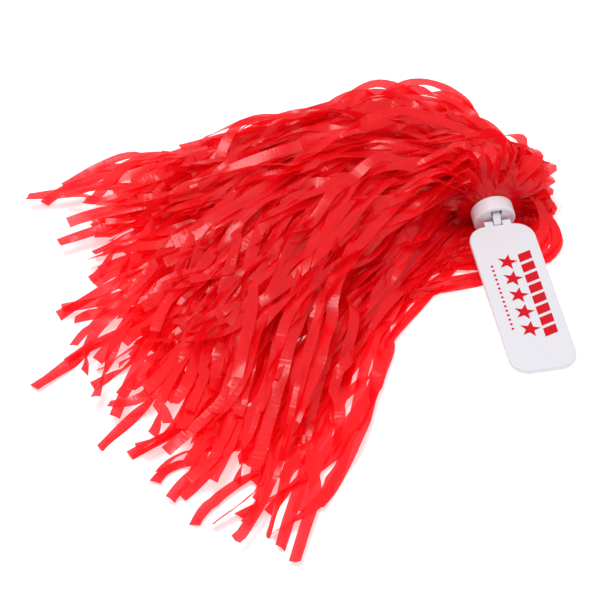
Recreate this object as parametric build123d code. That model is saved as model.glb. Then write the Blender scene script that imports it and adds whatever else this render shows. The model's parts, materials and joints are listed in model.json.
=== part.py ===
from build123d import *
import math
import os

# A hand-held cheer pom pom lying on a table. A flat paddle handle hangs from a pin in the front loop of a
# nylon tie strap. The strap passes through two slots in a round cap, and its rear loop holds the gathered
# middle of a stack of plastic film sheets. Each sheet is slit into streamers at both ends. The streamers
# spring out behind the cap and are swept to one side.
# Millimetres, +Z up. The model is built with the hinge pin above the origin, then moved so that the origin
# is the centre of the footprint on the table.

# Paddle handle, with two ears that carry the hinge pin.
PADDLE_LENGTH = 117.0
PADDLE_WIDTH = 41.5
PADDLE_THICKNESS = 3.4
PADDLE_CORNER_RADIUS = 12.0
PADDLE_EDGE_RADIUS = 1.1
EAR_WIDTH = 5.2
EAR_GAP = 6.2
PIN_RADIUS = 0.85
PIN_TO_PADDLE = 2.6
TIP_HEIGHT = PADDLE_THICKNESS / 2

# Ink graphic on the paddle's upper face.
INK_THICKNESS = 0.1
PRINT_CENTRE_SHARE = 0.5
STRIPE_COUNT = 8
STRIPE_LENGTH = 6.4
STRIPE_WIDTH = 8.4
STRIPE_PITCH = 8.6
STRIPE_SLANT = 2.6
STRIPE_OFFSET = 9.6
STAR_COUNT = 5
STAR_RADIUS = 6.4
STAR_INNER_SHARE = 0.42
STAR_PITCH = 13.6
STAR_OFFSET = -2.2
DOT_COUNT = 15
DOT_RADIUS = 0.85
DOT_PITCH = 3.6
DOT_OFFSET = -12.4

# Cap, a short cup that opens towards the streamers. Its front wall has a slot above and below the pin.
CAP_RADIUS = 13.25
CAP_DEPTH = 9.7
CAP_WALL = 1.8
CAP_FRONT_WALL = 2.0
CAP_FRONT_RADIUS = 1.5
CAP_TILT = 12.0
CAP_FLOOR_GAP = 1.5
SLOT_WIDTH = 7.0
SLOT_HEIGHT = 4.2
SLOT_RISE = 8.6
PIN_FORWARD = 3.6
PIN_RISE = 2.8

# Tie strap, pulled tight round the pin, the cap's front wall and the gathered film.
STRAP_WIDTH = 4.6
STRAP_THICKNESS = 1.1
STRAP_RUNNING_GAP = 0.05
STRAP_SLOT_RISE = 7.0
STRAP_REACH = 15.0
STRAP_FRONT_BEND = 0.6
STRAP_BACK_BEND = 3.5
LOCK_LENGTH = 4.2
LOCK_HEIGHT = 5.6
LOCK_WIDTH = 6.4

# Gathered middle of the sheets, packed into the cap and flaring out of its mouth.
ROOT_RADIUS = 11.0
ROOT_FLARE_RADIUS = 14.2
ROOT_END = 21.5
SOFT_GAP = 0.35

# Film sheets. Each one is a thin layer of a low dome that fans out behind and to the left of the cap.
SHEET_COUNT = 16
SHEET_THICKNESS = 0.4
REACH = 330.0
FAN_BACK_ANGLE = 161.0
FAN_FRONT_ANGLE = 240.0
FAN_CENTRE_BACK = 24.0
# Radius and height of the top sheet, from the middle to the tips.
DOME_PROFILE = [(0, 62), (70, 66), (130, 56), (220, 34), (350, 14)]
TOP_SHEET_SHRINK = 0.10

# Free space that the sheets leave for the hub and for the swinging paddle, over the whole sweep range.
HUB_SPACE_RADIUS = 20.5
HUB_SPACE_HEIGHT = 36.0
CORRIDOR_CLEARANCE = 1.8
SWEEP_RANGE = 30.0

# Hub frame: "back" runs along the cap's axis away from the paddle, "up" lies in the cap's front face.
tilt = math.radians(CAP_TILT)
back = Vector(0, math.cos(tilt), math.sin(tilt))
up = Vector(0, -math.sin(tilt), math.cos(tilt))
cap_low = CAP_RADIUS * math.cos(tilt)
pin_height = cap_low + CAP_FLOOR_GAP - PIN_FORWARD * math.sin(tilt) + PIN_RISE * math.cos(tilt)
pin_centre = Vector(0, 0, pin_height)
cap_face = pin_centre + back * PIN_FORWARD - up * PIN_RISE
cap_mouth = cap_face + back * CAP_DEPTH
hub_location = Location(Plane(origin=cap_face, x_dir=(1, 0, 0), z_dir=back))
# In the hub's own frame Z runs back and Y runs down, so a height above the cap's axis is a negative Y.
side_plane = Plane(origin=(0, 0, 0), x_dir=(0, 0, 1), z_dir=(1, 0, 0))


def slab(face, half_width):
    """A face drawn in the side plane, thickened evenly to both sides."""
    return extrude(side_plane * face, amount=half_width, both=True)


def make_paddle():
    """The paddle lies flat with the pin's axis on X, and its upper face towards +Z."""
    length_centre = -PIN_TO_PADDLE - PADDLE_LENGTH / 2
    outline = RectangleRounded(PADDLE_WIDTH, PADDLE_LENGTH, PADDLE_CORNER_RADIUS)
    plate = extrude(outline, amount=PADDLE_THICKNESS / 2, both=True)
    rims = plate.faces().sort_by(Axis.Z)[0].edges() + plate.faces().sort_by(Axis.Z)[-1].edges()
    plate = Pos(0, length_centre, 0) * fillet(rims, PADDLE_EDGE_RADIUS)
    nose = PADDLE_THICKNESS / 2
    foot = PIN_TO_PADDLE + PADDLE_EDGE_RADIUS + 1
    profile = Circle(nose) + Pos(0, -foot / 2) * Rectangle(2 * nose, foot)
    ear = extrude(Plane.YZ * (Rot(0, 0, -90) * profile), amount=EAR_WIDTH / 2, both=True)
    ear_centre = (EAR_GAP + EAR_WIDTH) / 2
    paddle = plate + Pos(ear_centre, 0, 0) * ear + Pos(-ear_centre, 0, 0) * ear
    bore = Rot(0, 90, 0) * Cylinder(PIN_RADIUS, 2 * PADDLE_WIDTH)
    return paddle - bore


def star(radius):
    """A plain five-pointed star."""
    corners = []
    for i in range(10):
        reach = radius if i % 2 == 0 else radius * STAR_INNER_SHARE
        turn = math.radians(36 * i)
        corners.append((reach * math.sin(turn), reach * math.cos(turn)))
    return make_face(Polyline(*corners, close=True))


def slanted_bar():
    """A parallelogram whose long sides cross the paddle."""
    half_width = STRIPE_WIDTH / 2
    half_length = STRIPE_LENGTH / 2
    rise = STRIPE_SLANT / 2
    corners = [
        (-half_width, -half_length - rise),
        (half_width, -half_length + rise),
        (half_width, half_length + rise),
        (-half_width, half_length - rise),
    ]
    return make_face(Polyline(*corners, close=True))


def row_along_paddle(mark, count, pitch, across):
    """Copies of one mark in a straight row down the paddle."""
    return [Pos(across, (i - (count - 1) / 2) * pitch) * mark for i in range(count)]


def make_print():
    """Three rows of ink on the paddle's upper face: slanted bars, stars and dots."""
    middle = -PIN_TO_PADDLE - PADDLE_LENGTH * PRINT_CENTRE_SHARE
    marks = row_along_paddle(slanted_bar(), STRIPE_COUNT, STRIPE_PITCH, STRIPE_OFFSET)
    marks += row_along_paddle(Rot(0, 0, -90) * star(STAR_RADIUS), STAR_COUNT, STAR_PITCH, STAR_OFFSET)
    marks += row_along_paddle(make_face(Circle(DOT_RADIUS).edge()), DOT_COUNT, DOT_PITCH, DOT_OFFSET)
    level = Pos(0, middle, PADDLE_THICKNESS / 2)
    return Compound([level * extrude(mark, amount=INK_THICKNESS) for mark in marks])


def make_pin():
    return Rot(0, 90, 0) * Cylinder(PIN_RADIUS, EAR_GAP + 2 * EAR_WIDTH)


def make_cap():
    """The cap in the hub's own frame: its front face on Z = 0, its mouth towards +Z."""
    cap = Pos(0, 0, CAP_DEPTH / 2) * Cylinder(CAP_RADIUS, CAP_DEPTH)
    cap = fillet(cap.edges().sort_by(Axis.Z)[0], CAP_FRONT_RADIUS)
    cavity_depth = CAP_DEPTH - CAP_FRONT_WALL
    cap -= Pos(0, 0, CAP_FRONT_WALL + cavity_depth / 2) * Cylinder(CAP_RADIUS - CAP_WALL, cavity_depth)
    for rise in (-SLOT_RISE, SLOT_RISE):
        cap -= Pos(0, rise, CAP_FRONT_WALL / 2) * Box(SLOT_WIDTH, SLOT_HEIGHT, 2 * CAP_FRONT_WALL)
    return cap


def strap_core():
    """The region that the tight strap encloses, in the side plane: X runs back and Y runs up."""
    front_rise = STRAP_SLOT_RISE - STRAP_FRONT_BEND
    back_rise = STRAP_SLOT_RISE - STRAP_BACK_BEND
    bends = [Pos(-PIN_FORWARD, PIN_RISE) * Circle(PIN_RADIUS + STRAP_RUNNING_GAP)]
    for side in (-1, 1):
        bends.append(Pos(STRAP_FRONT_BEND, side * front_rise) * Circle(STRAP_FRONT_BEND))
        bends.append(Pos(STRAP_REACH - STRAP_BACK_BEND, side * back_rise) * Circle(STRAP_BACK_BEND))
    return make_hull([bend.edge() for bend in bends])


def make_strap():
    """A closed strap with its square lock behind the gathered film."""
    core = strap_core()
    strap = slab(offset(core, STRAP_THICKNESS) - core, STRAP_WIDTH / 2)
    lock = Pos(STRAP_REACH + LOCK_LENGTH / 2, 0) * Rectangle(LOCK_LENGTH, LOCK_HEIGHT)
    lock = fillet(slab(lock, LOCK_WIDTH / 2).edges(), 0.5)
    return strap + lock


def make_root():
    """The gathered film fills the cap, passes through the strap's loop and flares out behind it."""
    start = CAP_FRONT_WALL + SOFT_GAP
    mouth = CAP_DEPTH
    profile = make_face(
        Polyline((0, start), (ROOT_RADIUS, start), (ROOT_RADIUS, mouth),
                 (ROOT_FLARE_RADIUS, ROOT_END), (0, ROOT_END), close=True)
    )
    root = revolve(Plane.XZ * profile, Axis.Z)
    core = strap_core()
    groove = offset(core, STRAP_THICKNESS + SOFT_GAP) - offset(core, -SOFT_GAP)
    root -= slab(groove, STRAP_WIDTH / 2 + SOFT_GAP)
    lock_space = Pos(0, 0, STRAP_REACH + LOCK_LENGTH / 2) * Box(
        LOCK_WIDTH + 2 * SOFT_GAP, LOCK_HEIGHT + 2 * SOFT_GAP, LOCK_LENGTH + 2 * SOFT_GAP
    )
    return root - lock_space


def fan_point(angle, radius):
    turn = math.radians(angle)
    return (radius * math.cos(turn), FAN_CENTRE_BACK + radius * math.sin(turn))


def make_fan(shrink):
    """Plan outline of a sheet: round the cap's right side, along the back, round the tips and back in."""
    reach = REACH * (1 - shrink)
    inner = 1 - shrink
    tip_arc = CenterArc(
        (0, FAN_CENTRE_BACK), reach, FAN_BACK_ANGLE, FAN_FRONT_ANGLE - FAN_BACK_ANGLE
    )
    back_side = Spline(
        fan_point(FAN_BACK_ANGLE, reach),
        (-150 * inner, 118 * inner),
        (-40 * inner, 92 * inner),
        (28 * inner, 52 * inner),
        (39 * inner, 8),
        (27 * inner, -30),
    )
    front_side = Spline(
        fan_point(FAN_FRONT_ANGLE, reach), (-110, -132), (-76, -60), (-28, -30)
    )
    return make_face([tip_arc, back_side, front_side, Line(back_side @ 1, front_side @ 1)])


def make_free_space():
    """The hub's surroundings, and the paddle's path as the streamers see it over their sweep range."""
    hub_space = Pos(0, cap_mouth.Y, HUB_SPACE_HEIGHT / 2) * Cylinder(HUB_SPACE_RADIUS, HUB_SPACE_HEIGHT)
    width = PADDLE_WIDTH + 2 * CORRIDOR_CLEARANCE
    length = PIN_TO_PADDLE + PADDLE_LENGTH + CORRIDOR_CLEARANCE
    behind = CORRIDOR_CLEARANCE + PADDLE_THICKNESS / 2
    path = Pos(0, (behind - length) / 2, length / 2) * Box(width, length + behind, 2 * length)
    sweep_axis = Axis(cap_mouth, (0, 0, 1))
    return [hub_space] + [path.rotate(sweep_axis, SWEEP_RANGE * share) for share in (0, 0.5, 1)]


def make_sheets():
    """Thin nested domes, cut to the fan's outline and clear of the hub and the paddle's path."""
    free_space = make_free_space()
    sheets = []
    for layer in range(SHEET_COUNT):
        share = layer / (SHEET_COUNT - 1)
        lower = [(radius, (height - SHEET_THICKNESS) * share) for radius, height in DOME_PROFILE]
        upper = [(radius, height + SHEET_THICKNESS) for radius, height in lower]
        profile = make_face(Polyline(*lower, *reversed(upper), close=True))
        dome = Pos(0, FAN_CENTRE_BACK, 0) * revolve(Plane.XZ * profile, Axis.Z)
        walls = extrude(make_fan(TOP_SHEET_SHRINK * share), amount=2 * DOME_PROFILE[0][1]) - free_space
        sheets.append(dome & walls)
    return sheets


paddle_tilt = math.degrees(math.asin((pin_height - TIP_HEIGHT) / (PADDLE_LENGTH + PIN_TO_PADDLE)))
handle_location = Location(pin_centre) * Rot(paddle_tilt, 0, 0)

parts = {
    "paddle": handle_location * make_paddle(),
    "paddle_print": handle_location * make_print(),
    "hinge_pin": handle_location * make_pin(),
    "cap": hub_location * make_cap(),
    "tie_strap": hub_location * make_strap(),
    "gathered_root": hub_location * make_root(),
}
for number, sheet in enumerate(make_sheets(), start=1):
    parts[f"streamer_sheet_{number:02d}"] = sheet

box = Compound([Compound(part.solids()) for part in parts.values()]).bounding_box()
to_footprint = Pos(-(box.min.X + box.max.X) / 2, -(box.min.Y + box.max.Y) / 2, -box.min.Z)
os.makedirs("parts", exist_ok=True)
for name, part in parts.items():
    solids = [to_footprint * solid for solid in part.solids()]
    export_step(solids[0] if len(solids) == 1 else Compound(solids), f"parts/{name}.step")
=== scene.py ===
import json
import math
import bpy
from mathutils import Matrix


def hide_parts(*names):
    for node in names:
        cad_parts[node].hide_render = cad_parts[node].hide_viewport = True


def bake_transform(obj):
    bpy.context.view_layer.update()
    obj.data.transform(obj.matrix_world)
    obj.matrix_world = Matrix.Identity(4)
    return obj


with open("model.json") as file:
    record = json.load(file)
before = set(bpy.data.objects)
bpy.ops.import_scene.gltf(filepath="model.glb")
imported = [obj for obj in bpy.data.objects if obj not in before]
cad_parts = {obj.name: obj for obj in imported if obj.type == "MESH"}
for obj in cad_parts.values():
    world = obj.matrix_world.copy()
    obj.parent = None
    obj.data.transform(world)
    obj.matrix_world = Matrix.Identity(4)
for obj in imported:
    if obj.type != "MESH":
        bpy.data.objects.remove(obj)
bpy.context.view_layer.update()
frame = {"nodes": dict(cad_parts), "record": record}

from types import SimpleNamespace

import bpy
import numpy as np
from mathutils import Vector

MM = 0.001
SEED = 454
rng = np.random.default_rng(SEED)

# ---------------------------------------------------------------- the frame
joints = {joint["name"]: joint for joint in frame["record"]["behaviour"]["joints"]}
PIN = np.array(joints["handle_hinge"]["pos_m"])
MOUTH = np.array(joints["streamer_sweep"]["pos_m"])
CAP_TILT = math.radians(12.0)
# BACK points out of the cap's mouth, away from the paddle, and UP is square to it.
BACK = np.array([0.0, math.cos(CAP_TILT), math.sin(CAP_TILT)])
UP = np.array([0.0, -math.sin(CAP_TILT), math.cos(CAP_TILT)])
RIGHT = np.array([1.0, 0.0, 0.0])

# ---------------------------------------------------------------- streamers: sizes
SHEETS = 16
STRIPS = 32
COUNT = SHEETS * STRIPS
STRIP_WIDTH = 6.8 * MM
STRIP_THICKNESS = 0.12 * MM
ROOT_RADIUS = 10.4 * MM
START_DEPTH = 6.0 * MM
LOWEST_FACE = 0.15 * MM
LOWEST_CENTRE = 0.6 * MM

# Length along a strip at each of its points in mm, with shorter steps near the cap.
SHORT_STEP = 2.0
SHORT_STEPS = 12
LONG_STEP = 5.0
LONG_STEPS = 67
SHORT_PART = SHORT_STEPS * SHORT_STEP
ARC = np.concatenate([
    np.arange(SHORT_STEPS) * SHORT_STEP, SHORT_PART + np.arange(LONG_STEPS) * LONG_STEP
]) * MM

# Radius from the mouth and height of the heap's top surface.
HEAP_RADIUS = np.array([0, 40, 90, 150, 210, 270, 330]) * MM
HEAP_HEIGHT = np.array([32, 42, 45, 33, 20, 11, 6]) * MM
# Where the heap falls away, in metres from the pin: its edges and the widths of their slopes.
RIGHT_EDGE = 0.050
RIGHT_SLOPE = 0.034
FRONT_EDGE = 0.050
FRONT_SLOPE = 0.095
CAP_SIDE = 0.120
CAP_SIDE_SLOPE = 0.100
BACK_EDGE = 0.105
BACK_SLOPE = 0.03
# Strips to the right of the first edge are pushed back until they are behind the second.
PETAL_SIDE = 0.030
PETAL_SIDE_SLOPE = 0.015
PETAL_BACK = 0.036
PETAL_BACK_SLOPE = 0.014
PETAL_PUSH = 1.4
LOWEST_LAYER = 1.0 * MM
# Loops rise freely up to this height and only a little over it.
FREE_TOP = 58 * MM
TOP_MARGIN = 14 * MM

# The paddle's path, which strips keep clear of, and the slope of the paddle's underside in it.
PATH_HALF_WIDTH = 25 * MM
UNDER_PIN = 7.0 * MM
PADDLE_SLOPE = 0.124
PIN_MARGIN = 3 * MM
CAP_MARGIN = 0.5 * MM

# ---------------------------------------------------------------- streamers: headings
# A heading is a compass angle in degrees seen from above: 0 is +X, 90 is +Y and 180 is -X.
# Near the cap and at the tips a sheet's strips fan out from a first heading over a range.
NEAR_HEADING = 122
NEAR_RANGE = 74
TIP_HEADING = 179
TIP_RANGE = 71
# The heap's front edge: at these lengths in mm, no strip heads further round than this.
FRONT_LENGTH = [0, 45, 120, 170]
FRONT_HEADING = [262, 228, 225, 246]
# The way round under the paddle: lengths in mm and headings.
SLIP_LENGTH = [0, 45, 75, 110, 170, 330]
SLIP_HEADING = [-20, -95, -150, -180, -165, -140]

# ---------------------------------------------------------------- streamers: what chance decides
# Pairs are lowest and highest values. A scatter is a standard deviation.
# Angles are in degrees and lengths in mm, or in metres where they are waves and turns along the strip.
LEAN_SCATTER = 16
NEAR_SCATTER = 9
TIP_SCATTER = 5
SWING_START = (45, 115)
SWING_LENGTH = 70 * MM
# Strips leave the mouth's middle almost straight and its rim almost sideways.
FAN_OUT = 12
FAN_OUT_RANGE = 78
FAN_OUT_SCATTER = 12
UPPER_FAN_OUT_LOSS = 0.22

# Strips cling together in locks: this many layers, and this many locks across each.
LOCK_LAYERS = 3
LOCKS_ACROSS = 9
LOCKS = LOCK_LAYERS * LOCKS_ACROSS
OWN_SHARE = 0.30
LOCK_SHARE = 0.70
PLACE_SCATTER = 0.17
LOCK_PLACE_SCATTER = 0.04
# Most points that a lock and a single strip lose at their tips.
LOCK_LOSS = 6
STRIP_LOSS = 24

# Length of strip that runs straight out of the cap, and how tightly the strip turns after it.
# Strips that fold back round the cap run out further and turn more tightly and more suddenly.
FREE_LENGTH = (6, 13)
FOLD_FREE_LENGTH = (3, 30)
RELEASE_LENGTH = 24
FOLD_RELEASE_LOSS = 16
BEND_RADIUS = (20, 40)
FOLD_BEND_RADIUS = (4, 10)
ROOT_BEND_RADIUS = 5 * MM
STEEPEST_LENGTH = 22 * MM

# Waves of heading and of height along the strip.
LOCK_WAVES = (0.28, 0.16)
LOCK_WAVE_ANGLE = math.radians(9)
STRIP_WAVES = (0.25, 0.13)
STRIP_WAVE_ANGLE = math.radians(8)
RESTLESS = (0.3, 1.7)
HEIGHT_WAVES = (0.15, 0.08, 0.05)
HEIGHT_WAVE_SHARE = 0.15
LOOSE_CHANCE = 0.05
LOOSE_RISE = 0.25
LOOSE_WAVE = 1.8
LOOSE_TOP = 1.35
HEAP_TOP = 1.04
KINKS = 5
FIRST_KINK = 14
KINK_SCATTER = math.radians(20)

# Strips that run forward beside the paddle, and strips that slip under it.
FORWARD_CHANCE = 0.5
FORWARD_HEADING = (222, 262)
FORWARD_SWING_START = (18, 60)
FORWARD_BEND_RADIUS = (9, 16)
SLIP_CHANCE = 0.30
SLIP_STRETCH = (0.60, 1.05)
SLIP_BEND_RADIUS = 12 * MM
SLIP_FLAT_LENGTH = 0.15

# Twists, in radians, and creases.
TWIST_WAVES = (0.22, 0.12)
TWIST_ANGLE = 0.80
SHORT_TWIST_WAVES = (0.06,)
SHORT_TWIST_ANGLE = 0.20
HALF_TURN_CHANCES = (0.75, 0.55, 0.35)
HALF_TURN_PLACE = (0.03, 0.31)
HALF_TURN_LENGTH = (0.008, 0.030)
RIM_LENGTH = 0.018
TWIST_RATE = 0.30
CREASE_WAVES = (0.055, 0.030)
CREASE_DEPTH = 0.36 * MM
SHARP_CREASE_DEPTH = 0.07 * MM
FOLD_DEPTH = 0.35
WIDTH_SPREAD = (0.92, 1.06)


def unit(v):
    return v / np.maximum(np.linalg.norm(v, axis=-1, keepdims=True), 1e-9)


def smoothstep(x):
    x = np.clip(x, 0, 1)
    return x * x * (3 - 2 * x)


def compass(angle):
    return np.stack([np.cos(angle), np.sin(angle), np.zeros_like(angle)], -1)


def between(low, high):
    """One even random number for each strip."""
    return rng.uniform(low, high, COUNT)


def scatter(size):
    """One bell-shaped random number around zero for each strip."""
    return rng.normal(0, size, COUNT)


def waves(count, lengths, amplitude):
    """Smooth random curves along every strip: a sum of sines of the given wavelengths."""
    total = np.zeros((count, len(ARC)))
    for length in lengths:
        phase = rng.uniform(0, 2 * math.pi, (count, 1))
        stretch = rng.uniform(0.75, 1.3, (count, 1))
        size = rng.normal(0, 1, (count, 1))
        total += size * np.sin(2 * math.pi * ARC[None, :] / (length * stretch) + phase)
    return amplitude * total / math.sqrt(len(lengths))


def heap_height(position):
    """Height of the heap's top surface: a dome that falls away on the paddle's side of the cap."""
    x = position[:, 0] - PIN[0]
    y = position[:, 1] - PIN[1]
    radius = np.hypot(position[:, 0] - MOUTH[0], position[:, 1] - MOUTH[1])
    top = np.interp(radius, HEAP_RADIUS, HEAP_HEIGHT)
    right_edge = smoothstep((RIGHT_EDGE - x) / RIGHT_SLOPE)
    front_edge = smoothstep((y + FRONT_EDGE) / FRONT_SLOPE)
    beside_cap = smoothstep((x + CAP_SIDE) / CAP_SIDE_SLOPE)
    return top * right_edge * (1 - beside_cap * (1 - front_edge))


# ---------------------------------------------------------------- streamers: paths
def plan_strips():
    """All that chance decides about each strip: where it starts, ends and heads, and how it bends."""
    plan = SimpleNamespace()
    plan.sheet = np.repeat(np.arange(SHEETS), STRIPS)
    place = np.tile(np.arange(STRIPS), SHEETS)
    # Rank is the strip's height in the heap and across its place in the sheet, both from 0 to 1.
    rank = np.clip((plan.sheet + between(0, 1)) / SHEETS, 0.02, 0.99)
    across = np.clip((place + between(0, 1)) / STRIPS, 0, 1)

    # Where the strip leaves the cap: its side follows its place in the sheet, its height the sheet.
    side = 1 - 2 * across
    lift = 2 * rank - 1
    disc = np.stack([side * np.sqrt(1 - lift**2 / 2), lift * np.sqrt(1 - side**2 / 2)], 1)
    plan.start = MOUTH - BACK * START_DEPTH
    plan.start = plan.start + ROOT_RADIUS * (disc[:, :1] * RIGHT + disc[:, 1:] * UP)
    spread = np.linalg.norm(disc, axis=1)
    lean = np.arctan2(disc[:, 1], disc[:, 0]) + scatter(math.radians(LEAN_SCATTER))
    plan.radial = np.cos(lean)[:, None] * RIGHT + np.sin(lean)[:, None] * UP

    # Neighbouring strips cling together in locks, which share their turns, middle and loss of length.
    fan = np.clip(across + scatter(PLACE_SCATTER), 0, 0.999)
    layer = (rank * LOCK_LAYERS).astype(int)
    lock = layer * LOCKS_ACROSS + (fan * LOCKS_ACROSS).astype(int)
    lock_middle = ((np.arange(LOCKS) % LOCKS_ACROSS) + 0.5) / LOCKS_ACROSS
    lock_middle = lock_middle + rng.normal(0, LOCK_PLACE_SCATTER, LOCKS)
    fan = np.clip(OWN_SHARE * fan + LOCK_SHARE * lock_middle[lock], 0, 1)
    lock_loss = LOCK_LOSS * rng.uniform(0, 1, LOCKS) ** 2
    lost = lock_loss[lock] + between(0, 1) + STRIP_LOSS * between(0, 1) ** 0.9
    plan.ends = len(ARC) - lost.astype(int)

    # Each strip springs out of the mouth, fans outwards and is swept round to its place in the fan.
    near_place = (0.7 * across + 0.3 * fan) ** 0.9
    near_goal = np.radians(NEAR_HEADING + NEAR_RANGE * near_place + scatter(NEAR_SCATTER))
    plan.tip_goal = np.radians(TIP_HEADING + TIP_RANGE * fan + scatter(TIP_SCATTER))
    swing_at = between(*SWING_START) * MM
    fan_out = np.radians(FAN_OUT + FAN_OUT_RANGE * spread**1.2 + scatter(FAN_OUT_SCATTER))
    plan.fan_out = fan_out * (1 - UPPER_FAN_OUT_LOSS * np.maximum(lift, 0))

    # On the right and on top, strips fold back over themselves and make petals round the cap.
    right_share = smoothstep((side - 0.05) / 0.5)
    top_share = smoothstep((lift - 0.2) / 0.6) * (1 - right_share)
    folds = np.maximum(right_share, top_share)
    plan.free = (between(*FREE_LENGTH) + between(*FOLD_FREE_LENGTH) * folds) * MM
    plan.release_length = (RELEASE_LENGTH - FOLD_RELEASE_LOSS * folds) * MM
    bend_radius = (between(*BEND_RADIUS) * (1 - folds) + between(*FOLD_BEND_RADIUS) * folds) * MM
    plan.keep_back = smoothstep((side + 0.45) / 0.35)

    # Strips wander more and more towards their tips, partly with their lock and partly on their own.
    wander = 0.4 + 0.6 * ARC / ARC[-1] + 2.4 * (ARC / ARC[-1]) ** 2
    plan.heading_noise = waves(LOCKS, LOCK_WAVES, LOCK_WAVE_ANGLE)[lock] * wander
    restless = rng.uniform(*RESTLESS, (COUNT, 1)) ** 1.5
    plan.heading_noise += waves(COUNT, STRIP_WAVES, STRIP_WAVE_ANGLE) * wander * restless
    height_noise = waves(COUNT, HEIGHT_WAVES, HEIGHT_WAVE_SHARE)
    # A few strips stand clear of the heap in loose loops.
    loose = between(0, 1) < LOOSE_CHANCE
    height_noise = np.where(loose[:, None], LOOSE_RISE + LOOSE_WAVE * height_noise, height_noise)
    plan.level = rank[:, None] + height_noise
    plan.highest = np.where(loose, LOOSE_TOP, HEAP_TOP)
    # Sharp kinks, anywhere but near the cap.
    plan.kinks = np.zeros((COUNT, len(ARC)))
    for _ in range(KINKS):
        where = rng.integers(FIRST_KINK, len(ARC), COUNT)
        plan.kinks[np.arange(COUNT), where] += scatter(KINK_SCATTER)

    # Low strips on the paddle's left run forward beside it before they turn with the others.
    plan.runs_forward = (side < 0.15) & (rank < 0.55) & (between(0, 1) < FORWARD_CHANCE)
    plan.near_goal = np.where(plan.runs_forward, np.radians(between(*FORWARD_HEADING)), near_goal)
    plan.swing_at = np.where(plan.runs_forward, between(*FORWARD_SWING_START) * MM, swing_at)
    plan.bend_radius = np.where(plan.runs_forward, between(*FORWARD_BEND_RADIUS) * MM, bend_radius)
    # Some low strips on the right slip under the paddle instead.
    plan.slips_under = (side > 0.3) & (rank < 0.5) & (between(0, 1) < SLIP_CHANCE)
    plan.slip_stretch = between(*SLIP_STRETCH)
    plan.slip_height = (1.0 + 3 * rank) * MM
    return plan


def wanted_direction(plan, i, position):
    """Direction in which the heap draws every strip at point i: along its heading, at its height."""
    s = ARC[i]
    height = LOWEST_LAYER + heap_height(position) * np.clip(plan.level[:, i], 0.01, plan.highest)
    swing = smoothstep((s - plan.swing_at) / SWING_LENGTH)
    heading = plan.near_goal * (1 - swing) + plan.tip_goal * swing + plan.heading_noise[:, i]
    heading = np.minimum(heading, math.radians(np.interp(s / MM, FRONT_LENGTH, FRONT_HEADING)))
    way_round = np.radians(np.interp(s / MM / plan.slip_stretch, SLIP_LENGTH, SLIP_HEADING))
    heading = np.where(plan.slips_under, way_round + 0.5 * plan.heading_noise[:, i], heading)
    height = np.where(plan.slips_under & (s < SLIP_FLAT_LENGTH), plan.slip_height, height)
    wanted = compass(heading)
    wanted[:, 2] = np.clip((height - position[:, 2]) / STEEPEST_LENGTH, -1.1, 0.9)

    # Strips near the cap are pushed behind it, and those past the heap's back edge are drawn forward.
    east = position[:, 0] - PIN[0]
    north = position[:, 1] - PIN[1]
    beside_petals = smoothstep((east + PETAL_SIDE) / PETAL_SIDE_SLOPE) * plan.keep_back
    beside_petals = beside_petals * (~plan.slips_under) * (~plan.runs_forward)
    wanted[:, 1] += PETAL_PUSH * beside_petals * np.clip((PETAL_BACK - north) / PETAL_BACK_SLOPE, 0, 1.4)
    wanted[:, 1] -= np.clip((north - BACK_EDGE) / BACK_SLOPE, 0, 1.5)
    return unit(wanted)


def bend(plan, i, position, direction):
    """Turn every strip's direction at point i as far as its stiffness lets it, and add its kink."""
    s = ARC[i]
    step = ARC[i + 1] - ARC[i]
    outward = np.cos(plan.fan_out)[:, None] * BACK + np.sin(plan.fan_out)[:, None] * plan.radial
    if s < START_DEPTH:
        outward = BACK[None, :].repeat(COUNT, 0)
    release = smoothstep((s - plan.free) / plan.release_length)[:, None]
    target = unit((1 - release) * outward + release * wanted_direction(plan, i, position))
    tightness = np.where(s < plan.free, ROOT_BEND_RADIUS, plan.bend_radius)
    tightness = np.where(plan.slips_under & (s > 0.02), SLIP_BEND_RADIUS, tightness)
    rate = np.clip(step / tightness, 0, 0.8)[:, None]
    direction = unit(direction + rate * (target - direction))
    kink_cos = np.cos(plan.kinks[:, i])
    kink_sin = np.sin(plan.kinks[:, i])
    turned_x = kink_cos * direction[:, 0] - kink_sin * direction[:, 1]
    turned_y = kink_sin * direction[:, 0] + kink_cos * direction[:, 1]
    return np.stack([turned_x, turned_y, direction[:, 2]], 1)


def keep_clear(s, position, direction):
    """Keep strips under the paddle, behind the cap and above the table."""
    in_path = np.abs(position[:, 0] - PIN[0]) < PATH_HALF_WIDTH
    high = position[:, 2] > PIN[2] + PIN_MARGIN
    beneath = PIN[2] - UNDER_PIN + PADDLE_SLOPE * (position[:, 1] - PIN[1])
    under_paddle = np.minimum(position[:, 2], np.maximum(beneath, LOWEST_LAYER))
    shaded = in_path & ~high & (position[:, 1] < PIN[1] - PIN_MARGIN)
    position[:, 2] = np.where(shaded, under_paddle, position[:, 2])
    # Nothing crosses over the cap: strips above it slide along the plane of its mouth.
    front_plane = MOUTH[1] + CAP_MARGIN
    blocked = in_path & high & (position[:, 1] < front_plane) & (s > START_DEPTH)
    position[:, 1] = np.where(blocked, front_plane, position[:, 1])
    direction[:, 1] = np.where(blocked, np.maximum(direction[:, 1], 0.1), direction[:, 1])
    position[:, 2] = np.maximum(position[:, 2], LOWEST_CENTRE)


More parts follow.
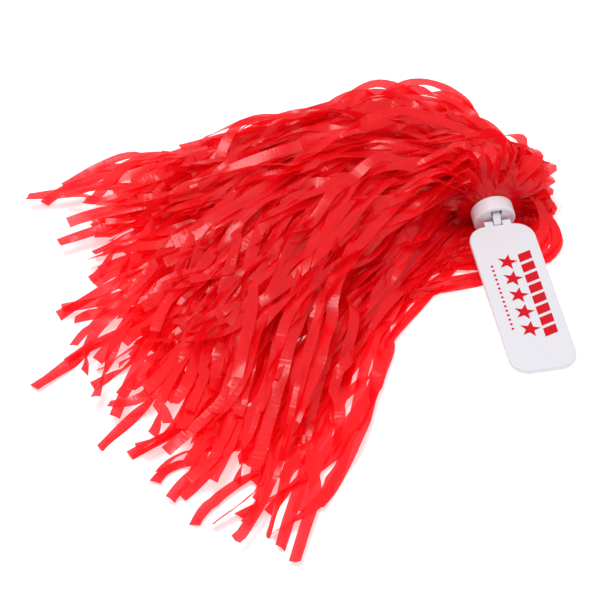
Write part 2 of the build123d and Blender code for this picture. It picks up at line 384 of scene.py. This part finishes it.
def strip_paths(plan):
    """Centre lines of all strips, as (strip, point, xyz)."""
    points = np.zeros((COUNT, len(ARC), 3))
    points[:, 0] = plan.start
    direction = BACK[None, :].repeat(COUNT, 0)
    position = plan.start.copy()
    for i in range(len(ARC) - 1):
        direction = bend(plan, i, position, direction)
        position = position + direction * (ARC[i + 1] - ARC[i])
        keep_clear(ARC[i], position, direction)
        points[:, i + 1] = position
    over = points[..., 2] - FREE_TOP
    rounded = FREE_TOP + TOP_MARGIN * np.tanh(over / TOP_MARGIN)
    points[..., 2] = np.where(over > 0, rounded, points[..., 2])
    return points


def strip_frames(points, rim_side):
    """Width direction and normal at every point: along the rim at first, then mostly flat, with twists."""
    tangent = unit(np.gradient(points, axis=1))
    up = np.zeros_like(points)
    up[..., 2] = 1
    flat_side = unit(np.cross(up, tangent))
    flat_normal = np.cross(tangent, flat_side)
    twist = waves(COUNT, TWIST_WAVES, TWIST_ANGLE) + waves(COUNT, SHORT_TWIST_WAVES, SHORT_TWIST_ANGLE)
    # Half turns: the strip shows its edge and then its other face.
    for chance in HALF_TURN_CHANCES:
        centre = rng.uniform(*HALF_TURN_PLACE, (COUNT, 1))
        length = rng.uniform(*HALF_TURN_LENGTH, (COUNT, 1))
        sign = rng.choice([-1.0, 1.0], (COUNT, 1)) * (rng.uniform(0, 1, (COUNT, 1)) < chance)
        twist += sign * math.pi * smoothstep((ARC[None, :] - centre) / length + 0.5)
    wanted = np.cos(twist)[..., None] * flat_side + np.sin(twist)[..., None] * flat_normal
    # The strip leaves the rim by the shorter turn, 20 mm from its start.
    sign = np.sign(np.sum(wanted[:, 10] * rim_side, axis=1) + 1e-9)[:, None]
    side = rim_side.copy()
    sides = np.zeros_like(points)
    for i in range(len(ARC)):
        along = tangent[:, i]
        pull = 0.0 if ARC[i] < RIM_LENGTH else TWIST_RATE
        side = side + pull * (sign * wanted[:, i] - side)
        side = unit(side - along * np.sum(side * along, axis=1, keepdims=True))
        sides[:, i] = side
    return sides, np.cross(tangent, sides)


def edge_flutter():
    """Small waves and creases of one edge or of the middle of every strip."""
    soft = waves(COUNT, CREASE_WAVES, CREASE_DEPTH)
    sharp = rng.normal(0, SHARP_CREASE_DEPTH, (COUNT, len(ARC)))
    return (soft + sharp) * smoothstep((ARC - 0.02) / 0.02)


# ---------------------------------------------------------------- streamers: meshes
def ribbon_faces(base, rings):
    """Faces of one closed ribbon: six corners a ring, of which 0 to 2 lie below and 3 to 5 above."""
    faces = []
    for i in range(rings - 1):
        a = base + 6 * i
        b = a + 6
        # The upper and lower faces start at matching corners, so that both are split the same way.
        for k in (0, 1, 2):
            faces.append((a + k, a + k + 1, b + k + 1, b + k))
        for k in (3, 4, 5):
            n = (k + 1) % 6
            faces.append((a + n, b + n, b + k, a + k))
    last = base + 6 * (rings - 1)
    faces.append((base + 0, base + 5, base + 4, base + 1))
    faces.append((base + 1, base + 4, base + 3, base + 2))
    faces.append((last + 0, last + 1, last + 4, last + 5))
    faces.append((last + 1, last + 2, last + 3, last + 4))
    return faces


def make_strips(name, members, points, ends, sides, normals, flutter):
    """One mesh of closed thin ribbons."""
    verts = []
    faces = []
    places = []
    for m in members:
        rings = ends[m]
        centre = points[m, :rings]
        side = sides[m, :rings]
        normal = normals[m, :rings]
        half = STRIP_WIDTH / 2 * rng.uniform(*WIDTH_SPREAD)
        wave = flutter[m, :, :rings].copy()
        wave[1] += rng.normal(0, FOLD_DEPTH) * MM
        ring = []
        for layer, columns in ((-0.5, (-1, 0, 1)), (0.5, (1, 0, -1))):
            for column in columns:
                rise = (wave[column + 1] + layer * STRIP_THICKNESS)[:, None]
                ring.append(centre + side * half * column + normal * rise)
        ring = np.stack(ring, 1)
        lowest = LOWEST_FACE + STRIP_THICKNESS * np.array([0, 0, 0, 1, 1, 1])
        ring[..., 2] = np.maximum(ring[..., 2], lowest)
        faces.extend(ribbon_faces(len(verts), rings))
        verts.extend(ring.reshape(-1, 3).tolist())
        # Each corner carries its place on the strip, along and across, and one random number for the strip.
        place = np.zeros((rings, 6, 3))
        place[..., 0] = ARC[:rings, None]
        place[..., 1] = half * np.array([-1, 0, 1, 1, 0, -1])
        place[..., 2] = rng.uniform(0, 1)
        places.extend(place.reshape(-1, 3).tolist())
    mesh = bpy.data.meshes.new(name)
    mesh.from_pydata(verts, [], faces)
    attribute = mesh.attributes.new("strip_place", "FLOAT_VECTOR", "POINT")
    attribute.data.foreach_set("vector", np.array(places).ravel())
    mesh.update()
    mesh.polygons.foreach_set("use_smooth", [True] * len(mesh.polygons))
    mesh.set_sharp_from_angle(angle=math.radians(20))
    obj = bpy.data.objects.new(name, mesh)
    bpy.context.scene.collection.objects.link(obj)
    return obj


# ---------------------------------------------------------------- materials
def node_material(name):
    material = bpy.data.materials.new(name)
    material.use_nodes = True
    nodes = material.node_tree.nodes
    links = material.node_tree.links
    return material, nodes, links, nodes["Principled BSDF"]


def noise_texture(nodes, links, vector, scale, detail):
    noise = nodes.new("ShaderNodeTexNoise")
    noise.inputs["Scale"].default_value = scale
    noise.inputs["Detail"].default_value = detail
    links.new(vector, noise.inputs["Vector"])
    return noise.outputs["Fac"]


def colour_ramp(nodes, links, factor, low, high):
    ramp = nodes.new("ShaderNodeValToRGB")
    ramp.color_ramp.elements[0].color = (*low, 1)
    ramp.color_ramp.elements[1].color = (*high, 1)
    links.new(factor, ramp.inputs["Fac"])
    return ramp.outputs["Color"]


def bump_map(nodes, links, height, strength, distance):
    bump = nodes.new("ShaderNodeBump")
    bump.inputs["Strength"].default_value = strength
    bump.inputs["Distance"].default_value = distance
    links.new(height, bump.inputs["Height"])
    return bump.outputs["Normal"]


def mix_shaders(nodes, links, share, first, second):
    """Mix two shaders; the share of the second is a number or another node's output."""
    mix = nodes.new("ShaderNodeMixShader")
    if isinstance(share, float):
        mix.inputs["Fac"].default_value = share
    else:
        links.new(share, mix.inputs["Fac"])
    links.new(first, mix.inputs[1])
    links.new(second, mix.inputs[2])
    return mix.outputs["Shader"]


def math_node(nodes, links, operation, *values):
    """A maths node whose values are numbers or other nodes' outputs."""
    node = nodes.new("ShaderNodeMath")
    node.operation = operation
    for slot, value in enumerate(values):
        if isinstance(value, float):
            node.inputs[slot].default_value = value
        else:
            links.new(value, node.inputs[slot])
    return node.outputs["Value"]


def film_material():
    """Thin glossy vinyl: light passes through it, and fine creases run across each strip."""
    material, nodes, links, shader = node_material("red_film")
    place = nodes.new("ShaderNodeAttribute")
    place.attribute_name = "strip_place"
    parts = nodes.new("ShaderNodeSeparateXYZ")
    links.new(place.outputs["Vector"], parts.inputs["Vector"])
    colour = colour_ramp(nodes, links, parts.outputs["Z"], (0.95, 0.012, 0.029), (0.99, 0.018, 0.038))
    links.new(colour, shader.inputs["Base Color"])
    shader.inputs["Roughness"].default_value = 0.5
    shader.inputs["Specular IOR Level"].default_value = 0.0

    # Creases are about 2 mm apart along the strip and reach right across it.
    stretch = nodes.new("ShaderNodeMapping")
    stretch.inputs["Scale"].default_value = (480, 60, 37)
    links.new(place.outputs["Vector"], stretch.inputs["Vector"])
    creases = noise_texture(nodes, links, stretch.outputs["Vector"], 1.0, 2)
    creased = bump_map(nodes, links, creases, 0.20, 1.5 * MM)
    links.new(creased, shader.inputs["Normal"])

    thin = nodes.new("ShaderNodeBsdfTranslucent")
    thin.inputs["Color"].default_value = (0.99, 0.022, 0.042, 1)
    clear = nodes.new("ShaderNodeBsdfTransparent")
    clear.inputs["Color"].default_value = (1.0, 0.46, 0.50, 1)
    body = mix_shaders(nodes, links, 0.60, shader.outputs["BSDF"], thin.outputs["BSDF"])
    body = mix_shaders(nodes, links, 0.44, body, clear.outputs["BSDF"])

    # The gloss lies over everything, stronger at grazing angles, on outer faces only.
    tilted = nodes.new("ShaderNodeLayerWeight")
    links.new(creased, tilted.inputs["Normal"])
    rising = math_node(nodes, links, "POWER", tilted.outputs["Facing"], 5.0)
    amount = math_node(nodes, links, "MULTIPLY_ADD", rising, 0.45, 0.031)
    geometry = nodes.new("ShaderNodeNewGeometry")
    outer = math_node(nodes, links, "SUBTRACT", 1.0, geometry.outputs["Backfacing"])
    share = math_node(nodes, links, "MULTIPLY", amount, outer)
    gloss = nodes.new("ShaderNodeBsdfAnisotropic")
    gloss.inputs["Roughness"].default_value = 0.24
    links.new(creased, gloss.inputs["Normal"])
    surface = mix_shaders(nodes, links, share, body, gloss.outputs["BSDF"])
    links.new(surface, nodes["Material Output"].inputs["Surface"])
    return material


def solid_material(name, colour, roughness, grain, gloss=0.5):
    """Plain plastic, nylon, ink or steel with a fine grain; grain is in cells per metre."""
    material, nodes, links, shader = node_material(name)
    shader.inputs["Roughness"].default_value = roughness
    shader.inputs["Specular IOR Level"].default_value = gloss
    place = nodes.new("ShaderNodeTexCoord")
    noise = noise_texture(nodes, links, place.outputs["Object"], grain, 4)
    darker = [channel * 0.95 for channel in colour]
    links.new(colour_ramp(nodes, links, noise, darker, colour), shader.inputs["Base Color"])
    links.new(bump_map(nodes, links, noise, 0.15, 0.1 * MM), shader.inputs["Normal"])
    return material


def paint(obj, material):
    if obj.material_slots:
        for item in obj.material_slots:
            item.material = material
    else:
        obj.data.materials.append(material)


# ---------------------------------------------------------------- pieces
white = solid_material("white_plastic", (0.70, 0.69, 0.735), 0.36, 900, 0.4)
strap = solid_material("strap_nylon", (0.71, 0.71, 0.73), 0.42, 1400)
ink = solid_material("print_ink", (0.60, 0.002, 0.010), 0.50, 2500, 0.15)
steel = solid_material("pin_steel", (0.45, 0.45, 0.47), 0.30, 3000)
film = film_material()

for node, material in (
    ("cap", white),
    ("paddle", white),
    ("tie_strap", strap),
    ("paddle_print", ink),
    ("hinge_pin", steel),
):
    paint(frame["nodes"][node], material)

plan = plan_strips()
points = strip_paths(plan)
rim_side = unit(np.cross(np.broadcast_to(BACK, plan.radial.shape), plan.radial))
sides, normals = strip_frames(points, rim_side)
# Left edge, middle and right edge of every strip.
flutter = np.stack([edge_flutter() for _ in range(3)], 1)

# Each sheet becomes one mesh of strips whose roots start in the cap's mouth; it takes the place of the
# matching sheet from model.glb, which is hidden, as is the gathered root.
for number in range(SHEETS):
    members = np.nonzero(plan.sheet == number)[0]
    piece = make_strips(f"streamers_{number + 1:02d}", members, points, plan.ends, sides, normals, flutter)
    paint(piece, film)
    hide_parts(f"streamer_sheet_{number + 1:02d}")
    if number == 0:
        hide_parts("gathered_root")
    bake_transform(piece)

# ---------------------------------------------------------------- stage
FLOOR_HALF = 6
floor_mesh = bpy.data.meshes.new("floor")
floor_corners = [(x * FLOOR_HALF, y * FLOOR_HALF, 0) for x, y in ((-1, -1), (1, -1), (1, 1), (-1, 1))]
floor_mesh.from_pydata(floor_corners, [], [(0, 1, 2, 3)])
floor = bpy.data.objects.new("floor", floor_mesh)
bpy.context.scene.collection.objects.link(floor)
floor_material, _, _, floor_shader = node_material("floor")
floor_shader.inputs["Base Color"].default_value = (0.78, 0.78, 0.78, 1)
floor_shader.inputs["Emission Color"].default_value = (1, 1, 1, 1)
floor_shader.inputs["Emission Strength"].default_value = 0.39
floor_shader.inputs["Roughness"].default_value = 0.9
floor.data.materials.append(floor_material)

world = bpy.data.worlds.new("world")
world.use_nodes = True
world.node_tree.nodes["Background"].inputs["Color"].default_value = (1, 1, 1, 1)
world.node_tree.nodes["Background"].inputs["Strength"].default_value = 0.70
bpy.context.scene.world = world


def area_light(name, place, size, power):
    """A square lamp that faces the origin."""
    data = bpy.data.lights.new(name, "AREA")
    data.size = size
    data.energy = power
    light = bpy.data.objects.new(name, data)
    light.location = place
    light.rotation_euler = (-Vector(place)).to_track_quat("-Z", "Y").to_euler()
    bpy.context.scene.collection.objects.link(light)


area_light("key", (-0.35, 0.15, 1.9), 0.8, 20)
area_light("fill", (0.9, -1.2, 1.2), 1.0, 3.3)

# The camera stands in front of the paddle, a little to its left, and looks down at the middle of the heap.
AZIMUTH = math.radians(-11.4)
ELEVATION = math.radians(42)
DISTANCE = 1.5
look = Vector((PIN[0] - 0.1300, PIN[1] - 0.0275, 0.0))
level = math.cos(ELEVATION)
away = Vector((math.sin(AZIMUTH) * level, -math.cos(AZIMUTH) * level, math.sin(ELEVATION)))
camera_data = bpy.data.cameras.new("camera")
camera_data.lens = 148
camera = bpy.data.objects.new("camera", camera_data)
camera.location = look + away * DISTANCE
camera.rotation_euler = (-away).to_track_quat("-Z", "Y").to_euler()
bpy.context.scene.collection.objects.link(camera)
bpy.context.scene.camera = camera
bpy.context.scene.view_settings.view_transform = "Standard"
# Light scatters many times between the thin layers before it leaves the heap.
bpy.context.scene.cycles.diffuse_bounces = 10
bpy.context.scene.cycles.max_bounces = 16
bpy.context.scene.cycles.transparent_max_bounces = 16
